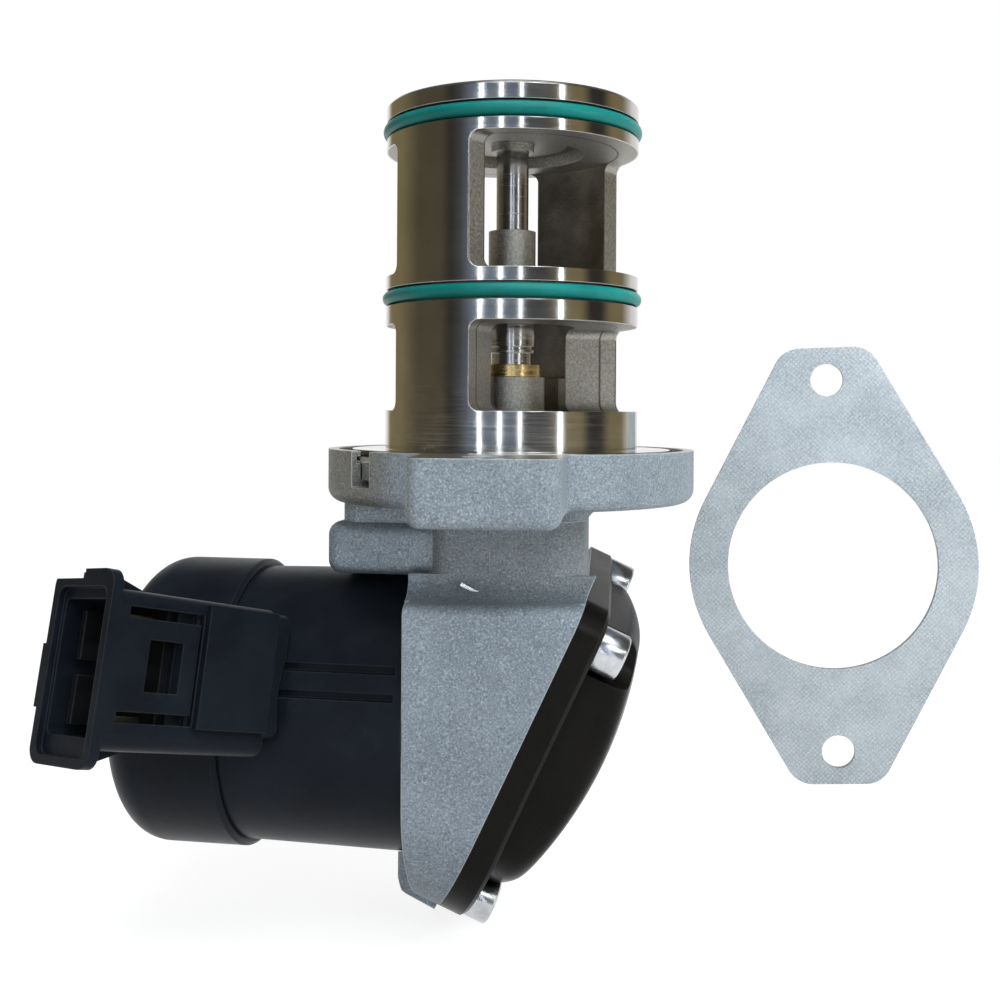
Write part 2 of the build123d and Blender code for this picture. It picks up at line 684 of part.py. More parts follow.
def conn_block(u0, u1, v0, v1, w0, w1):
    return conn * Pos((u0 + u1) / 2, (v0 + v1) / 2, (w0 + w1) / 2) * Box(u1 - u0, v1 - v0, w1 - w0)


def conn_tube(u0, u1, v0, v1, w0, w1, r):
    face = Plane(origin=(u0, 0, 0), x_dir=(0, 1, 0), z_dir=(1, 0, 0))
    face = face * Pos((v0 + v1) / 2, (w0 + w1) / 2) * RectangleRounded(v1 - v0, w1 - w0, r)
    return conn * extrude(face, u1 - u0)


half_h = conn_h / 2
stem_half = half_h - 3.4
mouth_u = conn_len - lip_len
cavity_u = conn_len - conn_depth
top_v = conn_shift + half_h
low_v = conn_shift - half_h
hood = conn_tube(mouth_u, conn_len, low_v, top_v, 0, conn_w, conn_corner_r)
body = conn_tube(0, mouth_u, conn_shift - stem_half, conn_shift + stem_half, 0, conn_w - 0.5, conn_corner_r)
root = conn_block(1, 18, conn_shift - 11, conn_shift + 11, 12, conn_w + 9)
collar = conn_tube(-collar_back, 3, -collar_half, collar_half - 1, 1.2, conn_w - 2, 2.4)
key = conn_block(mouth_u - 8, conn_len, key_mid - key_half, key_mid + key_half, conn_w - 1, conn_w + key_t)
web_plane = conn.offset(gusset_w[0])
webs = []
for v_in, v_out in ((top_v - 3.6, top_v - 0.4), (low_v + 3.6, low_v + 0.4)):
    profile = Polyline((mouth_u + 0.2, v_in), (mouth_u + 0.2, v_out), (mouth_u - 9, v_in), close=True)
    webs.append(extrude(web_plane * make_face(profile), gusset_w[1] - gusset_w[0]))
notch = conn_block(mouth_u - 1, conn_len + 1, top_v - 1.8, top_v + 1, conn_w / 2, conn_w + 2)
cap = cap + (hood - notch) + body + root + collar + key + webs
half_in = stem_half - conn_wall
cavity = conn_tube(
    cavity_u, conn_len + 1, conn_shift - half_in, conn_shift + half_in, conn_wall, conn_w - 0.5 - conn_wall, 1.2
)
recess = conn_tube(mouth_u + 0.8, conn_len + 1, low_v + 1.8, top_v - 3.4, 1.8, conn_w - 1.8, 2.0)
tongue_top = tongue_mid + tongue_h / 2
tongue_low = tongue_mid - tongue_h / 2
through = conn_wall + 0.4
slots = conn_block(tongue_from, tongue_to, tongue_top, tongue_top + tongue_slot, -1, through)
slots += conn_block(tongue_from, tongue_to, tongue_low - tongue_slot, tongue_low, -1, through)
slots += conn_block(tongue_from - 0.6, tongue_from, tongue_low - tongue_slot, tongue_top + tongue_slot, -1, 1.6)
slots += conn_block(tongue_from + 3.5, tongue_from + 11, window_mid - window_half, window_mid + window_half, -1, through)
cap_hole = cap_r - barrel_wall
inside = x_disc(cap_hole, cap_end_x + 6.5, seam_x + 1, 0, motor_z)
inside = fillet(inside.edges().filter_by(GeomType.CIRCLE).sort_by(Axis.X)[0], cap_edge_r - barrel_wall)
rear_seat = x_tube(bearing_r + 2.2, bearing_r, cap_end_x + 6, cap_end_x + 6.5 + bearing_t, 0, motor_z)
cap -= inside
cap += rear_seat
cap -= cavity + recess + slots
cap -= x_disc(barrel_r + 0.4, seam_x, 20, 0, motor_z)
save(from_drive(cap), "motor_end_cap")

# Connector pieces: the sliding lock on the front face, the insert and its blades
flat_half = block_h / 2
lock = conn_block(0.6, block_len, -flat_half, flat_half, -block_rise, 0)
save(from_drive(lock), "connector_lock")
blade_w = conn_w / 2
insert = conn_block(cavity_u, cavity_u + 1.6, conn_shift - half_in + 0.6, conn_shift + half_in - 0.6, 4, conn_w - 4.4)
insert += conn_block(cavity_u, conn_len - 4, conn_shift + 1.4, conn_shift + half_in - 2, blade_w + 4, blade_w + 5.4)
insert += conn_block(cavity_u, conn_len - 4, conn_shift - half_in + 2, conn_shift - 1.4, blade_w + 4, blade_w + 5.4)
save(from_drive(insert), "connector_insert")
blades = []
pitch_v = 2 * (half_in - 3) / (terminal_count - 1)
for i in range(terminal_count):
    v = conn_shift - half_in + 3 + i * pitch_v
    blade = conn_block(cavity_u + 1.6, conn_len - 6.5, v - 1.1, v + 1.1, blade_w - 1.4, blade_w - 0.6)
    blades.append(from_drive(blade))
save(Compound(children=blades), "connector_terminals")

# Inside the motor: flux can, magnets, wound rotor on its shaft, commutator, brushes and bearings
can_start = motor_face_x - spigot_len - 0.4
can_end = rotor_mid_x - rotor_len / 2 - 9
save(from_drive(x_tube(can_r, can_r - can_wall, can_end, can_start, 0, motor_z)), "motor_can")
magnet_out = can_r - can_wall
magnet_len = rotor_len + 4
magnets = []
for i in range(4):
    shell = tube(magnet_out, magnet_out - magnet_t, -rotor_len / 2 - 2, rotor_len / 2 + 2)
    wedge = sector(60, magnet_deg / 2, -99, 99, 45 + 90 * i)
    magnets.append(from_drive(Pos(rotor_mid_x, 0, motor_z) * Rot(0, 90, 0) * (shell & wedge)))
save(Compound(children=magnets), "motor_magnets")
core = disc(rotor_r, -rotor_len / 2, rotor_len / 2) - disc(shaft_r, -99, 99)
for i in range(rotor_slots):
    cut = Pos(rotor_r - 5.5, 0, 0) * Box(6.0, 4.4, rotor_len + 2) + Pos(rotor_r, 0, 0) * Box(6, 1.6, rotor_len + 2)
    core -= Rot(0, 0, 360 / rotor_slots * i) * cut
to_motor = Pos(rotor_mid_x, 0, motor_z) * Rot(0, 90, 0)
save(from_drive(to_motor * core), "rotor_core")
turns = []
for side in (-1, 1):
    ring = tube(rotor_r - 2.2, shaft_r + 3.5, 0, 5.5)
    ring = fillet(ring.edges().filter_by(GeomType.CIRCLE), 1.4)
    turns.append(from_drive(to_motor * Pos(0, 0, side * (rotor_len / 2 + 2.75) - 2.75) * ring))
save(Compound(children=turns), "rotor_windings")
shaft_start = cap_end_x + 8
shaft = x_disc(shaft_r, shaft_start, first_gear_x - 0.6, 0, motor_z)
shaft += x_disc(shaft_r - 0.5, first_gear_x - 1, first_gear_x + first_gear_w, 0, motor_z)
save(from_drive(shaft), "motor_shaft")
comm_x = rotor_mid_x - rotor_len / 2 - 6.5 - commutator_len
commutator = x_tube(commutator_r, shaft_r, comm_x, comm_x + commutator_len, 0, motor_z)
for i in range(rotor_slots):
    cut = Pos(comm_x + commutator_len / 2, 0, motor_z) * Rot(360 / rotor_slots * i, 0, 0)
    commutator -= cut * Pos(0, 0, commutator_r) * Box(commutator_len - 2, 0.6, 2.0)
save(from_drive(commutator), "commutator")
brush_x = comm_x + commutator_len / 2
plate = x_tube(cap_hole - 0.6, commutator_r + 1.5, comm_x - 2.5, comm_x - 0.5, 0, motor_z)
for side in (-1, 1):
    mid = motor_z + side * (commutator_r + 8)
    box = block(comm_x - 0.6, comm_x + commutator_len, -4.2, 4.2, mid - 5.5, mid + 5.5)
    plate += box - block(comm_x + 0.8, comm_x + commutator_len - 1, -2.9, 2.9, mid - 9, mid + 9)
save(from_drive(plate), "brush_plate")
brushes = []
for side in (-1, 1):
    inner = motor_z + side * (commutator_r + 0.15)
    outer = motor_z + side * (commutator_r + 11)
    brush = block(comm_x + 0.8, comm_x + commutator_len - 1, -2.9, 2.9, min(inner, outer), max(inner, outer))
    brushes.append(from_drive(brush - x_disc(commutator_r + 0.1, -99, 0, 0, motor_z)))
save(Compound(children=brushes), "brushes")
bearings = []
for x in (floor_face_x - 0.1, cap_end_x + 6.5 + bearing_t):
    bearings.append(from_drive(x_tube(bearing_r, shaft_r + fit_gap, x - bearing_t, x, 0, motor_z)))
save(Compound(children=bearings), "motor_bearings")

# The loose flange gasket, upright beside the valve
gasket = extrude(diamond(gasket_r, gasket_half_length, gasket_half_width, gasket_corner_r), gasket_t)
gasket -= disc(gasket_hole_r, -9, 9)
for side in (-1, 1):
    gasket -= disc(gasket_bolt_r, -9, 9, 0, side * bolt_half_spacing)
upright_gasket = Rot(0, -gasket_tilt, 0) * Rot(90, 0, 0) * Pos(0, 0, -gasket_t / 2) * gasket
save(Pos(gasket_x, gasket_y, gasket_z) * upright_gasket, "flange_gasket")
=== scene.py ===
import json
import math
import bpy
from mathutils import Matrix, Vector


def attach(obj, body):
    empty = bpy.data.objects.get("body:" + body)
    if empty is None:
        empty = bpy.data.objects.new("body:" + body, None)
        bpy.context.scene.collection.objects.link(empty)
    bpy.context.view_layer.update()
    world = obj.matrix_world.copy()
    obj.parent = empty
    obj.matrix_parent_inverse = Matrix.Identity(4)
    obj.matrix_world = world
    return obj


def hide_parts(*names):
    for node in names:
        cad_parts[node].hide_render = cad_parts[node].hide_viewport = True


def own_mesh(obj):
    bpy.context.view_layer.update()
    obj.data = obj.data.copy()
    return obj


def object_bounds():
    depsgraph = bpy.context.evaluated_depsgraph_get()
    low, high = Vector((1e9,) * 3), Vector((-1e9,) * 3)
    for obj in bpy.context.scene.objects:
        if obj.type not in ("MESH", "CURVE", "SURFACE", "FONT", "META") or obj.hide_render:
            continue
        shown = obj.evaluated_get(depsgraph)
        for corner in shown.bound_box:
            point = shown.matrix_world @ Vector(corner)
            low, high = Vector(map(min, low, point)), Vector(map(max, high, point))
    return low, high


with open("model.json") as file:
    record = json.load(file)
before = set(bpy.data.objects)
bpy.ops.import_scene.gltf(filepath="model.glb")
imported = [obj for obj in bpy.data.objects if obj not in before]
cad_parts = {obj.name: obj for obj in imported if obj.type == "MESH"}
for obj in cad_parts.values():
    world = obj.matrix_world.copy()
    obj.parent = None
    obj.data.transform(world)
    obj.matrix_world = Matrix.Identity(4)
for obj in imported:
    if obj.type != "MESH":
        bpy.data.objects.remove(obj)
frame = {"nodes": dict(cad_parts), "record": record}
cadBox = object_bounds()
nodes = frame["nodes"]
mm = 0.001


# Small helpers for shader nodes

def startMaterial(name, base, rough, metal=0.0):
    mat = bpy.data.materials.new(name)
    mat.use_nodes = True
    tree = mat.node_tree
    shader = tree.nodes["Principled BSDF"]
    shader.inputs["Base Color"].default_value = (*base, 1)
    shader.inputs["Roughness"].default_value = rough
    shader.inputs["Metallic"].default_value = metal
    place = tree.nodes.new("ShaderNodeTexCoord")
    return mat, tree, shader, place.outputs["Object"]


def feed(tree, socket, value):  # a colour or a number is set on the socket, an output is linked to it
    if isinstance(value, tuple):
        socket.default_value = (*value, 1)
    elif isinstance(value, (int, float)):
        socket.default_value = value
    else:
        tree.links.new(value, socket)


def noiseOf(tree, coords, size, detail=3.0, rough=0.55):
    node = tree.nodes.new("ShaderNodeTexNoise")
    node.inputs["Scale"].default_value = 1.0 / size
    node.inputs["Detail"].default_value = detail
    node.inputs["Roughness"].default_value = rough
    tree.links.new(coords, node.inputs["Vector"])
    return node.outputs["Fac"]


def stretched(tree, coords, scale, turn=(0, 0, 0)):
    node = tree.nodes.new("ShaderNodeMapping")
    node.inputs["Rotation"].default_value = turn
    node.inputs["Scale"].default_value = scale
    tree.links.new(coords, node.inputs["Vector"])
    return node.outputs["Vector"]


def ramp(tree, fac, low, high, fromValue=0.0, toValue=1.0):
    node = tree.nodes.new("ShaderNodeMapRange")
    node.inputs["From Min"].default_value = low
    node.inputs["From Max"].default_value = high
    node.inputs["To Min"].default_value = fromValue
    node.inputs["To Max"].default_value = toValue
    tree.links.new(fac, node.inputs["Value"])
    return node.outputs["Result"]


def spread(tree, noise, fromValue=0.0, toValue=1.0):  # noise hardly ever leaves 0.3 to 0.7
    return ramp(tree, noise, 0.3, 0.7, fromValue, toValue)


def mixed(tree, fac, one, two, blend="MIX"):
    node = tree.nodes.new("ShaderNodeMix")
    node.data_type = "RGBA"
    node.blend_type = blend
    tree.links.new(fac, node.inputs[0])
    feed(tree, node.inputs[6], one)
    feed(tree, node.inputs[7], two)
    return node.outputs[2]


def blendValues(tree, fac, one, two):
    node = tree.nodes.new("ShaderNodeMix")
    tree.links.new(fac, node.inputs[0])
    feed(tree, node.inputs[2], one)
    feed(tree, node.inputs[3], two)
    return node.outputs[0]


def combine(tree, kind, first, *others):  # a kind that needs one value only gets an idle 0 beside it
    result = first
    for other in others or (0.0,):
        node = tree.nodes.new("ShaderNodeMath")
        node.operation = kind
        feed(tree, node.inputs[0], result)
        feed(tree, node.inputs[1], other)
        result = node.outputs[0]
    return result


def parts(tree, coords):
    node = tree.nodes.new("ShaderNodeSeparateXYZ")
    tree.links.new(coords, node.inputs[0])
    return node.outputs


def fromAxis(tree, coords):
    flat = stretched(tree, coords, (1, 1, 0))
    node = tree.nodes.new("ShaderNodeVectorMath")
    node.operation = "LENGTH"
    tree.links.new(flat, node.inputs[0])
    return node.outputs["Value"]


def facing(tree, name, axis):
    node = tree.nodes.new("ShaderNodeNewGeometry")
    return parts(tree, node.outputs[name])[axis]


def roundedEdges(tree, radius):
    node = tree.nodes.new("ShaderNodeBevel")
    node.samples = 6
    node.inputs["Radius"].default_value = radius
    return node.outputs["Normal"]


# Mask of rounded edges, where the colour is made paler: partly rubbed wear, partly a painted highlight
def edgeWearAndHighlight(tree, normal, begins=0.995, full=0.90):
    flat = tree.nodes.new("ShaderNodeNewGeometry")
    node = tree.nodes.new("ShaderNodeVectorMath")
    node.operation = "DOT_PRODUCT"
    tree.links.new(normal, node.inputs[0])
    tree.links.new(flat.outputs["Normal"], node.inputs[1])
    return ramp(tree, node.outputs["Value"], begins, full)


def bumps(tree, shader, layers, under=None):
    for height, distance in layers:
        node = tree.nodes.new("ShaderNodeBump")
        node.inputs["Distance"].default_value = distance
        tree.links.new(height, node.inputs["Height"])
        if under is not None:
            tree.links.new(under, node.inputs["Normal"])
        under = node.outputs["Normal"]
    tree.links.new(under, shader.inputs["Normal"])


def dress(tree, shader, colour, rough):
    tree.links.new(colour, shader.inputs["Base Color"])
    tree.links.new(rough, shader.inputs["Roughness"])


def rayIsShown(tree):  # 1 for what the camera, a polished face or a clear piece shows
    path = tree.nodes.new("ShaderNodeLightPath")
    rays = ("Is Camera Ray", "Is Glossy Ray", "Is Transmission Ray")
    return combine(tree, "MAXIMUM", *[path.outputs[ray] for ray in rays])


# Finishes. A pair or a row of four says where a ramp begins and ends, then its values there

def castAluminium():
    user = {
        "dark": (0.25, 0.295, 0.335), "pale": (0.37, 0.425, 0.47), "grain": (0.60, 0.66, 0.70),
        "pit": (0.13, 0.145, 0.16), "wornHighlit": (0.80, 0.82, 0.83), "wornHighlitShare": 0.5, "metal": 0.5,
        "gritSize": 0.42 * mm, "skinSize": 1.7 * mm, "patchSize": 16 * mm, "edge": 0.5 * mm,
        "skinShade": (0.40, 0.62, 0.5, 0), "grainShade": (0.53, 0.70, 0, 0.75),
        "pitShade": (0.46, 0.32, 0, 0.7),
        "gritDeep": 0.12 * mm, "skinDeep": 0.16 * mm, "roughest": 0.66, "smoothest": 0.44,
        "neckPaintedShade": (0.84, 0.81, 0.76), "neckLow": (-0.033, -0.029), "neckHigh": (-0.012, -0.016),
        "neckLeft": (-0.018, -0.015),
        "rimPaintedShade": (0.86, 0.74, 0.62), "rimLeft": (-0.019, -0.026), "rimLow": (-0.014, -0.011),
        "lowPaintedShade": (0.72, 0.73, 0.75), "lowEnd": (-0.04, -0.095),
        "machinedDark": (0.50, 0.44, 0.34), "machined": (0.66, 0.60, 0.48), "machinedRough": 0.28,
        "machinedFrom": (-0.0065, -0.006), "upward": (0.85, 0.95), "lineSize": 0.5 * mm,
    }
    mat, tree, shader, at = startMaterial("castAluminium", user["pale"], 0.55, user["metal"])
    grit = noiseOf(tree, at, user["gritSize"], 4, 0.6)
    skin = noiseOf(tree, at, user["skinSize"], 3)
    patch = noiseOf(tree, at, user["patchSize"], 4)
    place = parts(tree, at)
    x, z = place[0], place[2]
    colour = mixed(tree, spread(tree, patch), user["dark"], user["pale"])
    colour = mixed(tree, ramp(tree, skin, *user["skinShade"]), colour, user["dark"])
    colour = mixed(tree, ramp(tree, grit, *user["grainShade"]), colour, user["grain"])
    colour = mixed(tree, ramp(tree, grit, *user["pitShade"]), colour, user["pit"])
    # Painted shade: the neck below the flange is darkened to a browner tone, as the flange shades it
    neck = combine(tree, "MULTIPLY", ramp(tree, z, *user["neckLow"]), ramp(tree, z, *user["neckHigh"]),
                   ramp(tree, x, *user["neckLeft"]))
    # Painted shade: the flange's left rim is darkened to a warm brown, as little light reaches it from the
    # left
    leftRimShade = combine(tree, "MULTIPLY", ramp(tree, x, *user["rimLeft"]), ramp(tree, z, *user["rimLow"]))
    # Painted shade: the body gets darker towards the bottom, as the light falls off downward
    low = ramp(tree, z, *user["lowEnd"])
    for share, tint in ((neck, "neckPaintedShade"), (leftRimShade, "rimPaintedShade"), (low, "lowPaintedShade")):
        colour = mixed(tree, share, colour, user[tint], "MULTIPLY")
    normal = roundedEdges(tree, user["edge"])
    # Edges are lightened: partly rubbed wear, partly a painted highlight along them
    wornHighlit = combine(tree, "MULTIPLY", edgeWearAndHighlight(tree, normal), user["wornHighlitShare"])
    colour = mixed(tree, wornHighlit, colour, user["wornHighlit"])
    # The flange's upper face is machined: smooth, warmer and with faint tool lines
    upward = ramp(tree, facing(tree, "Normal", 2), *user["upward"])
    machined = combine(tree, "MULTIPLY", ramp(tree, z, *user["machinedFrom"]), upward)
    lines = noiseOf(tree, stretched(tree, at, (1, 1, 0.05)), user["lineSize"], 2)
    turned = mixed(tree, lines, user["machinedDark"], user["machined"])
    rough = spread(tree, grit, user["roughest"], user["smoothest"])
    dress(tree, shader, mixed(tree, machined, colour, turned),
          blendValues(tree, machined, rough, user["machinedRough"]))
    tree.links.new(blendValues(tree, machined, user["metal"], 1.0), shader.inputs["Metallic"])
    bumps(tree, shader, ((skin, user["skinDeep"]), (grit, user["gritDeep"])), normal)
    return mat


def cageSteel():
    user = {
        "turned": (0.57, 0.56, 0.54), "turnedDark": (0.50, 0.48, 0.455),
        "inner": (0.30, 0.285, 0.255), "innerPale": (0.54, 0.53, 0.49),
        "boreShade": (0.11, 0.10, 0.08), "boreShadePale": (0.24, 0.22, 0.19),
        "outerRadius": 27.75 * mm, "outerFade": 0.1 * mm, "topFace": (0.0751, 0.0753),
        "boreWalls": ((23.4 * mm, 0.35 * mm, 0.2 * mm), (13.1 * mm, 1.25 * mm, 1.0 * mm)),
        "ringSize": 0.35 * mm, "cloudSize": 11 * mm, "gritSize": 0.5 * mm,
        "ringRough": (0.07, 0.13), "cloudRough": (0, 0.03), "innerRough": (0.36, 0.60),
        "cloudShade": (0.35, 0.7), "gritShade": (0.38, 0.68),
        "gritDeep": 0.12 * mm, "ringDeep": 0.004 * mm, "edge": 0.25 * mm,
    }
    mat, tree, shader, at = startMaterial("cageSteel", user["turned"], 0.16, 1.0)
    radius = fromAxis(tree, at)
    outside = ramp(tree, radius, user["outerRadius"] - user["outerFade"], user["outerRadius"])
    turnedFace = combine(tree, "MAXIMUM", outside, ramp(tree, parts(tree, at)[2], *user["topFace"]))
    rings = noiseOf(tree, stretched(tree, at, (0.03, 0.03, 1)), user["ringSize"], 2)
    cloud = noiseOf(tree, at, user["cloudSize"], 4)
    grit = noiseOf(tree, at, user["gritSize"], 4, 0.6)
    shade = ramp(tree, cloud, *user["cloudShade"])
    smooth = mixed(tree, shade, user["turnedDark"], user["turned"])
    rough = mixed(tree, ramp(tree, grit, *user["gritShade"]), user["inner"], user["innerPale"])
    # Painted shade: the inner bore walls are darkened to a near-black brown, where shade falls inside the
    # cage
    walls = []
    for wall, clear, full in user["boreWalls"]:
        away = combine(tree, "ABSOLUTE", combine(tree, "SUBTRACT", radius, wall))
        walls.append(ramp(tree, away, clear, full))
    boreShade = mixed(tree, shade, user["boreShade"], user["boreShadePale"])
    rough = mixed(tree, combine(tree, "MAXIMUM", *walls), rough, boreShade)
    polish = combine(tree, "ADD", spread(tree, rings, *user["ringRough"]),
                     spread(tree, cloud, *user["cloudRough"]))
    dress(tree, shader, mixed(tree, turnedFace, rough, smooth),
          blendValues(tree, turnedFace, spread(tree, grit, *user["innerRough"]), polish))
    grain = combine(tree, "MULTIPLY", grit, combine(tree, "SUBTRACT", 1.0, turnedFace))
    normal = roundedEdges(tree, user["edge"])
    bumps(tree, shader, ((grain, user["gritDeep"]), (rings, user["ringDeep"])), normal)
    return mat


def plainMetal(name, base, rough, edge=0.15, grain=0.3):
    user = {"darker": 0.68, "cloudSize": 3 * mm, "polished": 0.7, "dull": 1.5, "grainDeep": 0.015 * mm}
    mat, tree, shader, at = startMaterial(name, base, rough, 1.0)
    cloud = noiseOf(tree, at, user["cloudSize"], 4)
    fine = noiseOf(tree, at, grain * mm, 2)
    dark = tuple(v * user["darker"] for v in base)
    dress(tree, shader, mixed(tree, spread(tree, cloud), dark, base),
          spread(tree, cloud, rough * user["polished"], rough * user["dull"]))
    bumps(tree, shader, ((fine, user["grainDeep"]),), roundedEdges(tree, edge * mm))
    return mat


def turnedMetal(name, base, rough):
    user = {"darker": 0.7, "cloudSize": 5 * mm, "ringSize": 0.3 * mm, "polished": 0.7, "dull": 1.4,
            "ringDeep": 0.003 * mm, "edge": 0.2 * mm}
    mat, tree, shader, at = startMaterial(name, base, rough, 1.0)
    rings = noiseOf(tree, stretched(tree, at, (0.04, 0.04, 1)), user["ringSize"], 2)
    cloud = noiseOf(tree, at, user["cloudSize"], 3)
    dark = tuple(v * user["darker"] for v in base)
    dress(tree, shader, mixed(tree, spread(tree, cloud), dark, base),
          spread(tree, rings, rough * user["polished"], rough * user["dull"]))
    bumps(tree, shader, ((rings, user["ringDeep"]),), roundedEdges(tree, user["edge"]))
    return mat


def mouldedPlastic(name, base, light, rough, specular):
    user = {
        "cloudSize": 14 * mm, "grainSize": 0.30 * mm, "scuffSize": 2.5 * mm, "waveSize": 3.2 * mm,
        "cloudShade": (0.35, 0.75), "scuffShade": (0.64, 0.80, 0, 0.5), "scuffPaler": 2.2,
        "wornHighlit": (0.07, 0.07, 0.07), "wornHighlitShare": 0.4,
        "polished": 0.85, "dull": 1.1, "grainRough": (-0.04, 0.06),
        "waveDeep": 0.03 * mm, "grainDeep": 0.022 * mm, "edge": 0.4 * mm,
    }
    mat, tree, shader, at = startMaterial(name, base, rough)
    shader.inputs["Specular IOR Level"].default_value = specular
    cloud = noiseOf(tree, at, user["cloudSize"], 4)
    grain = noiseOf(tree, at, user["grainSize"], 3, 0.6)
    wave = noiseOf(tree, at, user["waveSize"], 2)
    scuffs = noiseOf(tree, stretched(tree, at, (1, 4, 1)), user["scuffSize"], 5, 0.7)
    normal = roundedEdges(tree, user["edge"])
    colour = mixed(tree, ramp(tree, cloud, *user["cloudShade"]), base, light)
    scuffed = tuple(v * user["scuffPaler"] for v in light)
    colour = mixed(tree, ramp(tree, scuffs, *user["scuffShade"]), colour, scuffed)
    # Edges are lightened: partly rubbed wear, partly a painted highlight along them
    wornHighlit = combine(tree, "MULTIPLY", edgeWearAndHighlight(tree, normal), user["wornHighlitShare"])
    colour = mixed(tree, wornHighlit, colour, user["wornHighlit"])
    broad = spread(tree, cloud, rough * user["polished"], rough * user["dull"])
    dress(tree, shader, colour, combine(tree, "ADD", broad, spread(tree, grain, *user["grainRough"])))
    bumps(tree, shader, ((wave, user["waveDeep"]), (grain, user["grainDeep"])), normal)
    return mat


def rubber(name, base, light, rough):
    user = {"specular": 0.25, "cloudSize": 6 * mm, "dustSize": 0.8 * mm, "cloudShade": (0.35, 0.75),
            "dustShade": (0.62, 0.78, 0, 0.35), "dustPaler": 1.5, "dustLift": 0.01, "dustDeep": 0.02 * mm,
            "polished": 0.85, "dull": 1.2}
    mat, tree, shader, at = startMaterial(name, base, rough)
    shader.inputs["Specular IOR Level"].default_value = user["specular"]
    cloud = noiseOf(tree, at, user["cloudSize"], 4)
    dust = noiseOf(tree, at, user["dustSize"], 5, 0.7)
    colour = mixed(tree, ramp(tree, cloud, *user["cloudShade"]), base, light)
    dusty = tuple(min(1, v * user["dustPaler"] + user["dustLift"]) for v in light)
    colour = mixed(tree, ramp(tree, dust, *user["dustShade"]), colour, dusty)
    dress(tree, shader, colour, spread(tree, cloud, rough * user["polished"], rough * user["dull"]))
    bumps(tree, shader, ((dust, user["dustDeep"]),))
    return mat


def gasketSheet():
    user = {
        "base": (0.30, 0.335, 0.36), "pale": (0.47, 0.51, 0.54), "dot": (0.80, 0.84, 0.86),
        "pit": (0.18, 0.20, 0.22), "pitShare": 0.25, "edge": (0.07, 0.07, 0.07), "metal": 0.3,
        "pitch": 0.92 * mm, "lean": 47.1, "dots": (0.9, 1.7), "pits": (-0.9, -1.7),
        "gritSize": 0.6 * mm, "patchSize": 12 * mm, "gritShade": (0.40, 0.66, 0, 0.6),
        "dotShade": (0.35, 0.65, 0.1, 0.7), "sideShade": (0.7, 0.4), "rough": (0.22, 0.34),
        "gridDeep": 0.012 * mm, "gritDeep": 0.03 * mm, "rounded": 0.2 * mm,
    }
    mat, tree, shader, at = startMaterial("gasketSheet", user["base"], 0.45, user["metal"])
    grit = noiseOf(tree, at, user["gritSize"], 4, 0.65)
    patch = noiseOf(tree, at, user["patchSize"], 3)
    # A fine lattice of raised dots: two sine waves across each other, turned by the lean
    tight = 2 * math.pi / user["pitch"]
    along = parts(tree, stretched(tree, at, (tight, tight, tight), (0, math.radians(user["lean"]), 0)))
    grid = combine(tree, "ADD", *[combine(tree, "SINE", along[axis]) for axis in (0, 2)])
    dots = combine(tree, "MULTIPLY", ramp(tree, grid, *user["dots"]), ramp(tree, grit, *user["dotShade"]))
    pits = combine(tree, "MULTIPLY", ramp(tree, grid, *user["pits"]), user["pitShare"])
    colour = mixed(tree, spread(tree, patch), user["base"], user["pale"])
    colour = mixed(tree, ramp(tree, grit, *user["gritShade"]), colour, user["pale"])
    colour = mixed(tree, dots, colour, user["dot"])
    colour = mixed(tree, pits, colour, user["pit"])
    # Painted shade: the sheet's cut sides and hole walls are painted nearly black
    flat = combine(tree, "ABSOLUTE", facing(tree, "True Normal", 1))
    colour = mixed(tree, ramp(tree, flat, *user["sideShade"]), colour, user["edge"])
    dress(tree, shader, colour, spread(tree, grit, *user["rough"]))
    normal = roundedEdges(tree, user["rounded"])
    bumps(tree, shader, ((grid, user["gridDeep"]), (grit, user["gritDeep"])), normal)
    return mat


def coreSheets():
    user = {"between": (0.16, 0.16, 0.17), "sheet": (0.36, 0.36, 0.38), "waveScale": 330,
            "waveDeep": 0.05 * mm, "gritSize": 0.6 * mm, "gritDeep": 0.02 * mm}
    mat, tree, shader, at = startMaterial("coreSheets", (0.26, 0.26, 0.28), 0.5, 1.0)
    wave = tree.nodes.new("ShaderNodeTexWave")
    wave.inputs["Scale"].default_value = user["waveScale"]
    tree.links.new(at, wave.inputs["Vector"])
    sheets = wave.outputs["Fac"]
    tree.links.new(mixed(tree, sheets, user["between"], user["sheet"]), shader.inputs["Base Color"])
    grit = noiseOf(tree, at, user["gritSize"])
    bumps(tree, shader, ((sheets, user["waveDeep"]), (grit, user["gritDeep"])))
    return mat


